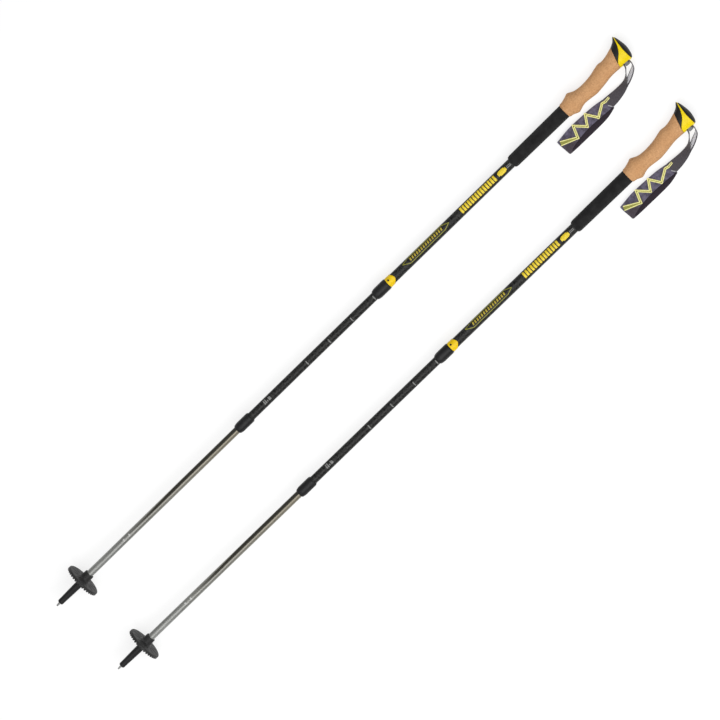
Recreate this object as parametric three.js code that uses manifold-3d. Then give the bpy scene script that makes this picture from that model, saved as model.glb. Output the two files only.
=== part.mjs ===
// A pair of three-section trekking poles with twist locks, lying side by side as they would on a floor.
// Frame: millimetres, +X from the tips to the handles, +Y towards the finger side of the grips, +Z up.
// The origin is on the floor, under the middle of the pair's bounding box.
import * as THREE from 'three';
import { mergeVertices } from 'three/addons/utils/BufferGeometryUtils.js';
import Module from 'manifold-3d';

const wasm = await Module();
wasm.setup();

// ---------------- Driving dimensions ----------------
// Stations are distances along a pole's axis from the point of its carbide tip.
const POLE_LENGTH = 1296.5;          // point of the tip to the crown of the head
const POLE_SPACING = 143;            // between the axes of the two poles
const GAP = 0.3;                     // clearance left between neighbouring pieces
const SIDES = 20;                    // facets round a tube
const COLLAR_SIDES = 24;
const LOCK_SIDES = 16;               // facets round the small pieces inside the tubes
const GRIP_SIDES = 24;
const BASKET_TEETH = 36;             // also the facets round the basket

const LOWER_TUBE = { start: 58.3, end: 500, outer: 6.0, bore: 5.0 };
const MIDDLE_TUBE = { start: 423, end: 854, outer: 7.0, bore: 6.3 };
const UPPER_TUBE = { start: 737, end: 1262, outer: 8.0, bore: 7.3 };

const LOWER_COLLAR = { start: 418.5, end: 450, outer: 9.0 };
const UPPER_COLLAR = { start: 731.7, end: 761, outer: 9.7 };
const LOCK_RING = { start: 761 + GAP, shoulder: 770, end: 777, outer: 8.9 };

const FERRULE = { start: 7.3, chamfer: 9.5, end: 76, nose: 4.9, waist: 5.75, top: 6.4, boss: 7.1 };
const TIP = { end: 26, point: 1.4, shoulder: 2.3 };
const BASKET = { plane: 62, radius: 31, hub: 8.5, hubTop: 77, hubBore: 7.45, sheet: 1.6, skirt: 4.2 };

const FOAM = { start: 1038, end: 1155, lowerRadius: 11, upperRadius: 11.75 };
const GRIP_SQUARENESS = 0.92;        // 1 is an ellipse, less is squarer
const GRIP_BORE = 8.4;               // foam, cork and head fit over the upper tube with this radius

const PLUG_DEPTH = 20;               // length of a lock plug inside its tube
const STUD_LENGTH = 30;
const EXPANDER_LENGTH = 17;
const FLANGE_TOP = 2.5;              // a lock stud's flange stands this far beyond its tube

const STRAP_SLOT = { low: 1272, high: 1284.7, depth: 12, halfWidth: 6.6 };
const STRAP_PIN = { station: 1278.4, back: 4.6, radius: 1.75, halfLength: 11 };
const STRAP_WEDGE = { low: 1274.6, high: 1282.3, inside: 8.8, outside: 18, halfWidth: 6.1 };
const WEBBING = { thickness: 1.6, width: 12 };
const BAND_HEIGHT = 8;               // the wrist band's two layers, pressed flat on the floor
const FLOOR_GAP = 0.2;

// Grip outline: how far the finger side (front) and palm side (rear) stand from the axis, the half
// thickness across, and where the widest line lies (mid), for stations along the grip.
const GRIP_SECTIONS = [
  { at: 1155.3, front: 12.5, rear: 12.7, half: 12.3, mid: 0 },
  { at: 1162, front: 13.3, rear: 14.0, half: 13.6, mid: 0 },
  { at: 1171, front: 15.8, rear: 17.6, half: 16.1, mid: 0 },      // lower flare, palm side
  { at: 1176.5, front: 17.6, rear: 16.4, half: 16.4, mid: 0 },    // lower flare, finger side
  { at: 1182, front: 15.2, rear: 14.6, half: 14.9, mid: 0 },
  { at: 1189, front: 12.3, rear: 13.7, half: 13.4, mid: 0 },
  { at: 1199, front: 10.8, rear: 14.8, half: 13.2, mid: -1 },     // hollow for the fingers
  { at: 1212, front: 11.0, rear: 16.1, half: 13.7, mid: -1.5 },   // palm swell
  { at: 1224, front: 12.4, rear: 15.2, half: 14.0, mid: -1 },
  { at: 1235, front: 15.0, rear: 13.7, half: 14.0, mid: 0 },
  { at: 1243, front: 16.5, rear: 12.6, half: 13.8, mid: 1 },      // bump over the forefinger
  { at: 1252, front: 15.6, rear: 12.2, half: 13.6, mid: 1 },
  { at: 1261, front: 16.8, rear: 12.6, half: 13.8, mid: 2 },
  { at: 1271, front: 19.5, rear: 13.4, half: 14.3, mid: 2.5 },
  { at: 1279, front: 22.2, rear: 14.0, half: 14.6, mid: 3 },
  { at: 1285, front: 25.6, rear: 14.4, half: 14.5, mid: 3.5 },
  { at: 1290.5, front: 31.2, rear: 13.4, half: 13.9, mid: 4 },    // beak
  { at: 1292.1, front: 29.4, rear: 11.8, half: 12.9, mid: 4.5 },
  { at: 1293.9, front: 24.5, rear: 8.4, half: 10.6, mid: 5.5 },
  { at: 1295.6, front: 15.5, rear: 1.5, half: 6.2, mid: 6.5 },
  { at: POLE_LENGTH, front: 8.5, rear: -5.0, half: 1.6, mid: 6.8 },
];
const FLARE = GRIP_SECTIONS[3];
// A pole lies on the rim of its basket and on the flare of its grip, so its axis slopes a little.
const SLOPE = Math.atan((BASKET.radius - FLARE.half) / (FLARE.at - BASKET.plane));
const BEAK_FRONT = GRIP_SECTIONS[16].front;
const STRAP_REAR = 56.3;             // how far the wrist band lies from the pole's axis

const COLOURS = {
  carbide: { color: 0xb5b8b8, roughness: 0.35, metalness: 1 },
  blackPlastic: { color: 0x232323, roughness: 0.55, metalness: 0 },
  basketPlastic: { color: 0x2f3031, roughness: 0.6, metalness: 0 },
  alloy: { color: 0x8b8a82, roughness: 0.35, metalness: 1 },
  carbon: { color: 0x1b1c1c, roughness: 0.35, metalness: 0 },
  steel: { color: 0xa8aaac, roughness: 0.3, metalness: 1 },
  nylon: { color: 0xd8d6cc, roughness: 0.6, metalness: 0 },
  yellow: { color: 0xe4c108, roughness: 0.45, metalness: 0 },
  foam: { color: 0x2a2a2a, roughness: 0.95, metalness: 0 },
  cork: { color: 0xc39467, roughness: 0.85, metalness: 0 },
  grey: { color: 0x5b5d60, roughness: 0.6, metalness: 0 },
  webbing: { color: 0x4b474d, roughness: 0.9, metalness: 0 },
};

// ---------------- Solids ----------------
// A closed mesh as a solid: corners merged, needle faces dropped, faces turned outwards.
function toSolid(geometry) {
  const bare = new THREE.BufferGeometry();
  bare.setAttribute('position', geometry.getAttribute('position').clone());
  if (geometry.index) bare.setIndex(geometry.index.clone());
  const merged = mergeVertices(bare, 1e-4);
  const position = merged.getAttribute('position');
  const corners = [];
  let volume = 0;
  for (let i = 0; i < merged.index.count; i += 3) {
    const [a, b, c] = [0, 1, 2].map((k) => merged.index.getX(i + k));
    if (a === b || b === c || c === a) continue;
    corners.push(a, b, c);
    const [pa, pb, pc] = [a, b, c].map((k) => new THREE.Vector3().fromBufferAttribute(position, k));
    volume += pa.dot(pb.cross(pc));
  }
  if (volume < 0) corners.reverse();
  return new wasm.Manifold(new wasm.Mesh({
    numProp: 3,
    vertProperties: Float32Array.from(position.array),
    triVerts: Uint32Array.from(corners),
  }));
}

function toGeometry(solid) {
  const mesh = solid.getMesh();
  const geometry = new THREE.BufferGeometry();
  geometry.setAttribute('position', new THREE.Float32BufferAttribute(mesh.vertProperties, 3));
  geometry.setIndex(new THREE.BufferAttribute(mesh.triVerts, 1));
  geometry.computeVertexNormals();
  return geometry;
}

// A solid of revolution about the pole's axis. The outline is a list of [station, radius] corners.
function turned(outline, sides = SIDES) {
  const points = outline.map(([station, radius]) => new THREE.Vector2(radius, station));
  const first = outline[0];
  const last = outline[outline.length - 1];
  if (first[1] > 0 || last[1] > 0) points.push(points[0].clone());
  return toSolid(new THREE.LatheGeometry(points, sides).rotateZ(-Math.PI / 2));
}

// A closed tube between two stations.
function tube({ start, end, outer, bore }, sides = SIDES) {
  return turned([[start, bore], [start, outer], [end, outer], [end, bore]], sides);
}

function cylinderAlong(start, end, radius, sides = SIDES) {
  return turned([[start, 0], [start, radius], [end, radius], [end, 0]], sides);
}

// A plan outline in the XY plane, extruded evenly to both sides of it.
function slab(shape, halfHeight, curveSegments = 12) {
  const options = { depth: 2 * halfHeight, bevelEnabled: false, curveSegments };
  return toSolid(new THREE.ExtrudeGeometry(shape, options).translate(0, 0, -halfHeight));
}

function polygon(points) {
  return new THREE.Shape(points.map(([x, y]) => new THREE.Vector2(x, y)));
}

// A block given by its lowest and highest corners.
function block(low, high) {
  const size = high.map((value, i) => value - low[i]);
  const centre = high.map((value, i) => (value + low[i]) / 2);
  return toSolid(new THREE.BoxGeometry(...size).translate(...centre));
}

// Closed skin over rings of points that all have the same count.
function skinned(rings) {
  const count = rings[0].length;
  const positions = rings.flat().flatMap((p) => [p.x, p.y, p.z]);
  const faces = [];
  for (let r = 0; r + 1 < rings.length; r += 1) {
    for (let i = 0; i < count; i += 1) {
      const a = r * count + i;
      const b = r * count + ((i + 1) % count);
      faces.push(a, b, b + count, a, b + count, a + count);
    }
  }
  [0, rings.length - 1].forEach((r) => {
    const centre = rings[r].reduce((sum, p) => sum.add(p), new THREE.Vector3()).divideScalar(count);
    const hub = positions.length / 3;
    positions.push(centre.x, centre.y, centre.z);
    for (let i = 0; i < count; i += 1) {
      const a = r * count + i;
      const b = r * count + ((i + 1) % count);
      faces.push(...(r === 0 ? [b, a, hub] : [a, b, hub]));
    }
  });
  const geometry = new THREE.BufferGeometry();
  geometry.setAttribute('position', new THREE.Float32BufferAttribute(positions, 3));
  geometry.setIndex(faces);
  return toSolid(geometry);
}

// ---------------- Tip, ferrule and basket ----------------
function carbideTip() {
  return turned([
    [0.6, 0], [0, TIP.point * 0.7], [0.4, TIP.point], [6.6, TIP.shoulder - 0.2],
    [FERRULE.start + GAP, TIP.shoulder], [TIP.end, TIP.shoulder], [TIP.end, 0],
  ], 16);
}

function tipFerrule() {
  const socket = { low: LOWER_TUBE.start - GAP, radius: LOWER_TUBE.outer + GAP * 0.6 };
  const tipBore = { end: TIP.end + GAP, radius: TIP.shoulder + GAP };
  const seat = BASKET.plane - BASKET.skirt - 2;
  return turned([
    [tipBore.end, 0], [tipBore.end, tipBore.radius], [FERRULE.start, tipBore.radius],
    [FERRULE.start, FERRULE.nose - 1.3], [FERRULE.chamfer, FERRULE.nose], [35, FERRULE.waist],
    [seat, FERRULE.top], [seat + 1.5, FERRULE.boss], [FERRULE.end, FERRULE.boss],
    [FERRULE.end, socket.radius], [socket.low, socket.radius], [socket.low, 0],
  ]);
}

// Dished plate with a short skirt towards the tip, whose edge is cut into teeth, and a hub that
// screws on to the ferrule.
function basket() {
  const { plane, radius, hub, hubTop, hubBore, sheet, skirt } = BASKET;
  const body = turned([
    [plane - 0.8, hubBore], [plane - 0.6, radius - 2.4], [plane - skirt, radius - 1.4],
    [plane - skirt, radius], [plane + 0.4, radius], [plane + sheet, radius - 1.4],
    [plane + sheet + 0.4, hub + 2.4], [plane + sheet + 2.6, hub], [hubTop - 1.2, hub - 0.3],
    [hubTop, hub - 0.8], [hubTop, hubBore],
  ], BASKET_TEETH);
  const notch = polygon([
    [plane - skirt - 1, -2.2], [plane - skirt + 2.4, 0], [plane - skirt - 1, 2.2],
  ]);
  const cutter = slab(notch, 3).translate(0, 0, radius);
  const notches = [];
  for (let i = 0; i < BASKET_TEETH; i += 1) {
    notches.push(cutter.rotate([((i + 0.5) * 360) / BASKET_TEETH, 0, 0]));
  }
  return body.subtract(wasm.Manifold.union(notches));
}

// ---------------- Twist locks ----------------
// A plug closes the top of the inner tube and carries the stud that the cone nut runs on.
function lockStud(innerTube) {
  const plug = innerTube.bore - GAP * 0.7;
  const flange = innerTube.outer - 0.2;
  const stud = studRadius(innerTube);
  const top = innerTube.end;
  return turned([
    [top - PLUG_DEPTH, 0], [top - PLUG_DEPTH, plug - 0.8], [top - PLUG_DEPTH + 1, plug],
    [top + GAP, plug], [top + GAP, flange], [top + FLANGE_TOP, flange], [top + FLANGE_TOP, stud],
    [top + STUD_LENGTH - 1, stud], [top + STUD_LENGTH, stud - 0.7], [top + STUD_LENGTH, 0],
  ], LOCK_SIDES);
}

function studRadius(innerTube) {
  return innerTube.outer * 0.38;
}

// Split sleeve that grips the outer tube's bore when the cone nut spreads it.
function lockExpander(innerTube, outerTube) {
  const start = innerTube.end + FLANGE_TOP + GAP;
  const outer = outerTube.bore - 0.2;
  const bore = studRadius(innerTube) + GAP;
  const end = start + EXPANDER_LENGTH;
  const sleeve = turned([
    [start, bore], [start, outer - 0.5], [start + 0.8, outer], [end, outer],
    [end, outer - 1.1], [start + 7, bore + 0.4],
  ], LOCK_SIDES);
  const split = block([start - 1, -0.7, 0], [end + 1, 0.7, outer + 1]);
  return sleeve.subtract(split);
}

function lockCone(innerTube, outerTube) {
  const expanderEnd = innerTube.end + FLANGE_TOP + GAP + EXPANDER_LENGTH;
  const bore = studRadius(innerTube) + GAP;
  const rim = outerTube.bore - 1.8;
  return turned([
    [expanderEnd - 7, bore], [expanderEnd - 7, bore + 0.35], [expanderEnd - 0.3, rim],
    [expanderEnd + 2.2, rim], [expanderEnd + 2.7, rim - 0.5], [expanderEnd + 2.7, bore],
  ], LOCK_SIDES);
}

// Ribbed sleeve round the lower end of an outer tube, with a lip that guides the inner tube.
function lockCollar(collar, outerTube, innerTube) {
  const { start, end, outer } = collar;
  const lip = innerTube.outer + GAP;
  const socket = outerTube.outer + GAP;
  const lipEnd = outerTube.start - GAP;
  return turned([
    [start, lip], [start, outer - 2.0], [start + 1.5, outer - 1.0], [start + 6, outer],
    [end - 1.5, outer], [end, outer - 1.1], [end, socket], [lipEnd, socket], [lipEnd, lip],
  ], COLLAR_SIDES);
}

// Plain ring above the upper collar. Its top edge rises to an arched tongue on the two flat sides.
function lockRing() {
  const { start, shoulder, end, outer } = LOCK_RING;
  const bore = UPPER_TUBE.outer + GAP;
  const ring = turned([
    [start, bore], [start, outer], [end, outer], [end, bore],
  ], COLLAR_SIDES);
  const above = new THREE.Shape();
  above.moveTo(shoulder, -outer - 1);
  above.lineTo(shoulder, -outer);
  above.quadraticCurveTo(2 * end - shoulder, 0, shoulder, outer);
  above.lineTo(shoulder, outer + 1);
  above.lineTo(end + 2, outer + 1);
  above.lineTo(end + 2, -outer - 1);
  return ring.subtract(slab(above, outer + 2, 8));
}

// ---------------- Grip ----------------
function gripRing({ at, front, rear, half, mid }) {
  const ring = [];
  for (let i = 0; i < GRIP_SIDES; i += 1) {
    const angle = (2 * Math.PI * i) / GRIP_SIDES;
    const reach = Math.cos(angle) > 0 ? front - mid : rear + mid;
    const y = mid + reach * Math.sign(Math.cos(angle)) * Math.abs(Math.cos(angle)) ** GRIP_SQUARENESS;
    const z = half * Math.sign(Math.sin(angle)) * Math.abs(Math.sin(angle)) ** GRIP_SQUARENESS;
    ring.push(new THREE.Vector3(at, y, z));
  }
  return ring;
}

// The grip and head share one outer form, which is split across by three leaning faces.
function gripForm() {
  return skinned(GRIP_SECTIONS.map((section) => gripRing(section)));
}

// Seams across the grip form, as plan lines (station, y) from the palm side to the finger side.
const WIDE = 40;
const NEAR = 1150;
const FAR = 1310;
const SEAM_STEPS = 24;
const HEAD_CORE_END = 1284;          // top of the spigot and flange inside the head
const CORK_SEAM = [[1258.2, -WIDE], [1282.6, WIDE]];
const INLAY_SEAM = seamThrough([
  [1240, -WIDE], [1257, -19], [1271, -3], [1281, 6], [1287.2, 16], [1290.2, 26], [1293, WIDE],
]);
const CAP_SEAM = [[1289.6, -WIDE], [1289.8, 6], [1291.8, 26], [1292.4, WIDE]];

// A smooth seam through plan points.
function seamThrough(points) {
  const curve = new THREE.SplineCurve(points.map(([x, y]) => new THREE.Vector2(x, y)));
  return curve.getPoints(SEAM_STEPS).map(({ x, y }) => [x, y]);
}

// What lies towards the handle's end from a seam, and what lies towards the tip.
function beyond(seam) {
  const start = seam.map(([x, y]) => [x + GAP, y]);
  return slab(polygon([...start, [FAR, WIDE], [FAR, -WIDE]]), WIDE);
}

function before(seam) {
  return slab(polygon([...seam, [NEAR, WIDE], [NEAR, -WIDE]]), WIDE);
}

function corkGrip(form) {
  return form.intersect(before(CORK_SEAM)).subtract(cylinderAlong(NEAR, FAR, GRIP_BORE));
}

// Front wedge of the head, on a spigot that is glued into the upper tube.
function headBase(form) {
  const spigot = cylinderAlong(UPPER_TUBE.end - 25, HEAD_CORE_END, UPPER_TUBE.bore - 0.2);
  const flange = cylinderAlong(UPPER_TUBE.end + GAP, HEAD_CORE_END, GRIP_BORE - GAP);
  const wedge = form.intersect(beyond(CORK_SEAM));
  return wedge.add(spigot).add(flange).intersect(before(INLAY_SEAM)).intersect(before(CAP_SEAM));
}

function slotBlock() {
  return block(
    [STRAP_SLOT.low, -30, -STRAP_SLOT.halfWidth],
    [STRAP_SLOT.high, STRAP_SLOT.depth - 14, STRAP_SLOT.halfWidth],
  );
}

// A rod across the head, where the strap's pin goes.
function crossRod(low, high, radius) {
  return cylinderAlong(low, high, radius, 16)
    .rotate([0, -90, 0])
    .translate(STRAP_PIN.station, -STRAP_PIN.back, 0);
}

function headInlay(form) {
  const pinHole = crossRod(-STRAP_PIN.halfLength - 0.2, 30, STRAP_PIN.radius + 0.25);
  return form.intersect(beyond(CORK_SEAM)).intersect(beyond(INLAY_SEAM))
    .intersect(before(CAP_SEAM)).subtract(slotBlock()).subtract(pinHole);
}

function headCap(form) {
  return form.intersect(beyond(CAP_SEAM));
}

function strapPin() {
  return crossRod(-STRAP_PIN.halfLength, STRAP_PIN.halfLength, STRAP_PIN.radius);
}

function strapWedge() {
  const { low, high, inside, outside, halfWidth } = STRAP_WEDGE;
  const outline = polygon([
    [low + 1.6, -inside], [high - 1.6, -inside], [high, -14.5],
    [high, -outside + 0.8], [high - 1, -outside], [low + 1, -outside], [low, -outside + 0.8],
    [low, -14.5],
  ]);
  return slab(outline, halfWidth);
}

function foamGrip() {
  const { start, end, lowerRadius, upperRadius } = FOAM;
  return turned([
    [start, GRIP_BORE], [start, 8.9], [start + 1.2, lowerRadius - 0.9],
    [start + 4, lowerRadius], [end, upperRadius], [end, GRIP_BORE],
  ]);
}

// ---------------- Strap, lying on the floor beside the grip ----------------
// A strand of webbing on edge. The route is a list of [station, y, height of its middle].
function webbingStrand(route) {
  const points = route.map(([x, y, z]) => new THREE.Vector3(x, y, z));
  const curve = new THREE.CatmullRomCurve3(points);
  const steps = 10;
  const rings = [];
  for (let i = 0; i <= steps; i += 1) {
    const centre = curve.getPoint(i / steps);
    const along = curve.getTangent(i / steps);
    const side = new THREE.Vector3(-along.y, along.x, 0).normalize();
    const corner = (s, h) => centre.clone()
      .addScaledVector(side, (s * WEBBING.thickness) / 2)
      .add(new THREE.Vector3(0, 0, (h * WEBBING.width) / 2));
    rings.push([corner(-1, -1), corner(1, -1), corner(1, 1), corner(-1, 1)]);
  }
  return skinned(rings);
}

const STRAND_TOP = 15.3;             // height of the strap slot over the floor
const STRAND_LOW = FLOOR_GAP + WEBBING.width / 2;
const INNER_STRAND = [
  [1272.6, -17.6, STRAND_TOP], [1269.8, -22, 13.2], [1265, -27, 9.6], [1259.6, -32.4, STRAND_LOW],
];
const OUTER_STRAND = [
  [1283.7, -17.6, STRAND_TOP], [1283.7, -22.8, 13.6], [1279, -31.2, 9.8], [1270, -37.2, 7.4],
  [1260, -40, STRAND_LOW],
];

// Outline of the wrist band: a closed loop of wide webbing pressed flat, folded at its far end.
function wristBand() {
  const outline = new THREE.Shape();
  outline.moveTo(1258.2, -31.2);
  outline.splineThru([
    [1228, -31.6], [1188, -26.6], [1140, -23.8], [1120, -25.6],
  ].map(([x, y]) => new THREE.Vector2(x, y)));
  outline.lineTo(1110.6, -27.2);
  outline.lineTo(1112.6, -STRAP_REAR + 1);
  outline.lineTo(1116, -STRAP_REAR);
  outline.lineTo(1190, -STRAP_REAR);
  outline.splineThru([
    [1203, -54.2], [1214, -49.6], [1236, -46.4], [1258.2, -41.2],
  ].map(([x, y]) => new THREE.Vector2(x, y)));
  const options = { depth: BAND_HEIGHT, bevelEnabled: false, curveSegments: 3 };
  return toSolid(new THREE.ExtrudeGeometry(outline, options).translate(0, 0, FLOOR_GAP));
}

// ---------------- Assembly ----------------
function addPiece(group, name, solid, colour) {
  const mesh = new THREE.Mesh(toGeometry(solid), new THREE.MeshStandardMaterial(COLOURS[colour]));
  mesh.name = name;
  group.add(mesh);
}

function lowerSection(group, side) {
  addPiece(group, `${side}_carbide_tip`, carbideTip(), 'carbide');
  addPiece(group, `${side}_tip_ferrule`, tipFerrule(), 'blackPlastic');
  addPiece(group, `${side}_basket`, basket(), 'basketPlastic');
  addPiece(group, `${side}_lower_tube`, tube(LOWER_TUBE), 'alloy');
  addPiece(group, `${side}_lower_lock_stud`, lockStud(LOWER_TUBE), 'steel');
  addPiece(group, `${side}_lower_lock_expander`, lockExpander(LOWER_TUBE, MIDDLE_TUBE), 'nylon');
  addPiece(group, `${side}_lower_lock_cone`, lockCone(LOWER_TUBE, MIDDLE_TUBE), 'nylon');
}

function middleSection(group, side) {
  const collar = lockCollar(LOWER_COLLAR, MIDDLE_TUBE, LOWER_TUBE);
  addPiece(group, `${side}_lower_lock_collar`, collar, 'blackPlastic');
  addPiece(group, `${side}_middle_tube`, tube(MIDDLE_TUBE), 'carbon');
  addPiece(group, `${side}_upper_lock_stud`, lockStud(MIDDLE_TUBE), 'steel');
  addPiece(group, `${side}_upper_lock_expander`, lockExpander(MIDDLE_TUBE, UPPER_TUBE), 'nylon');
  addPiece(group, `${side}_upper_lock_cone`, lockCone(MIDDLE_TUBE, UPPER_TUBE), 'nylon');
}

function handleSection(group, side) {
  const form = gripForm();
  const collar = lockCollar(UPPER_COLLAR, UPPER_TUBE, MIDDLE_TUBE);
  addPiece(group, `${side}_upper_lock_collar`, collar, 'blackPlastic');
  addPiece(group, `${side}_upper_lock_ring`, lockRing(), 'yellow');
  addPiece(group, `${side}_upper_tube`, tube(UPPER_TUBE), 'carbon');
  addPiece(group, `${side}_foam_grip`, foamGrip(), 'foam');
  addPiece(group, `${side}_cork_grip`, corkGrip(form), 'cork');
  addPiece(group, `${side}_head_base`, headBase(form), 'blackPlastic');
  addPiece(group, `${side}_head_inlay`, headInlay(form), 'yellow');
  addPiece(group, `${side}_head_cap`, headCap(form), 'blackPlastic');
  addPiece(group, `${side}_strap_pin`, strapPin(), 'steel');
  addPiece(group, `${side}_strap_wedge`, strapWedge(), 'grey');
}

function strap(group, side) {
  addPiece(group, `${side}_strap_webbing_inner`, webbingStrand(INNER_STRAND), 'webbing');
  addPiece(group, `${side}_strap_webbing_outer`, webbingStrand(OUTER_STRAND), 'webbing');
  addPiece(group, `${side}_wrist_band`, wristBand(), 'webbing');
}

// One pole: its rigid line leans by SLOPE, and its strap lies level on the floor.
function pole(side, y) {
  const whole = new THREE.Group();
  const leaning = new THREE.Group();
  lowerSection(leaning, side);
  middleSection(leaning, side);
  handleSection(leaning, side);
  leaning.rotation.y = SLOPE;
  leaning.position.z = BASKET.radius * Math.cos(SLOPE) + BASKET.plane * Math.sin(SLOPE);
  whole.add(leaning);
  strap(whole, side);
  whole.position.set(-POLE_LENGTH / 2, y, 0);
  return whole;
}

const pair = new THREE.Group();
const middleY = (STRAP_REAR - BEAK_FRONT) / 2;
pair.add(pole('left', middleY + POLE_SPACING / 2));
pair.add(pole('right', middleY - POLE_SPACING / 2));

export default pair;
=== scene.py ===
# Finished look of a pair of three-section trekking poles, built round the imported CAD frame.
# Shapes are worked out in millimetres in a pole's own frame: x is the station along the axis from
# the point of the tip, y points to the finger side of the grip, and z is up.
import math
from collections import namedtuple

import bpy
import numpy as np
from mathutils import Matrix, Vector, noise

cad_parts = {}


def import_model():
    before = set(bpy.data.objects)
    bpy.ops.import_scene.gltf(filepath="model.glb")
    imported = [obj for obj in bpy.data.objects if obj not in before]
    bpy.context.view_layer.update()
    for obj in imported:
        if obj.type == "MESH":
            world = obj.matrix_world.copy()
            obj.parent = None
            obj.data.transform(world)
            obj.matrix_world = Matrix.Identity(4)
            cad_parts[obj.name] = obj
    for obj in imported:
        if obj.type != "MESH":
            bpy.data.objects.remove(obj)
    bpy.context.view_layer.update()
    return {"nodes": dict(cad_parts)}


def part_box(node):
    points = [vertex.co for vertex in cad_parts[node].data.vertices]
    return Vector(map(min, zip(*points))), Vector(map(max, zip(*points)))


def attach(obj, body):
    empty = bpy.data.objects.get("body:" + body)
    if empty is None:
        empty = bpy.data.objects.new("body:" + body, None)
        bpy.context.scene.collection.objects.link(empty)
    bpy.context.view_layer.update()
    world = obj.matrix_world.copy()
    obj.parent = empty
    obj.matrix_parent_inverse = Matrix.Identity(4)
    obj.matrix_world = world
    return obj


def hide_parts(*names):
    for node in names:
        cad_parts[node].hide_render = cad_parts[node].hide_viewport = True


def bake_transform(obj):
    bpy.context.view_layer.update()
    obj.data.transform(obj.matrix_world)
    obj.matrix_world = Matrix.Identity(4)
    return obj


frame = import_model()

MM = 0.001
SIDES = ("left", "right")

# ---------------- Places taken from the CAD ----------------


def centre(node):
    """Middle of a CAD node's box."""
    low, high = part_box(node)
    return (low + high) / 2


def pole_frame(side):
    """Matrix from a pole's own millimetres to the row frame."""
    top = centre(f"{side}_upper_tube")
    bottom = centre(f"{side}_lower_tube")
    along = (top - bottom).normalized()
    across = Vector((0, 1, 0))
    up = along.cross(across)
    tip_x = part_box(f"{side}_carbide_tip")[0].x
    origin = bottom + along * ((tip_x - bottom.x) / along.x)
    turn = Matrix((along, across, up)).transposed().to_4x4()
    return Matrix.Translation(origin) @ turn @ Matrix.Scale(MM, 4)


def floor_frame(side):
    """The same stations and y, with z counted from the floor: for what lies beside the pole."""
    at = pole_frame(side).translation
    return Matrix.Translation((at.x, at.y, 0)) @ Matrix.Scale(MM, 4)


LEANING = {side: pole_frame(side) for side in SIDES}
LEVEL = {side: floor_frame(side) for side in SIDES}

# ---------------- Materials ----------------
NOISE = (0.3, 0.7)                   # nearly all of a noise's values lie between these


def linear(colour):
    """sRGB from 0 to 255 as linear RGBA."""
    out = [(c / 255 / 12.92) if c <= 10 else ((c / 255 + 0.055) / 1.055) ** 2.4 for c in colour]
    return (*out, 1.0)


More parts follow.
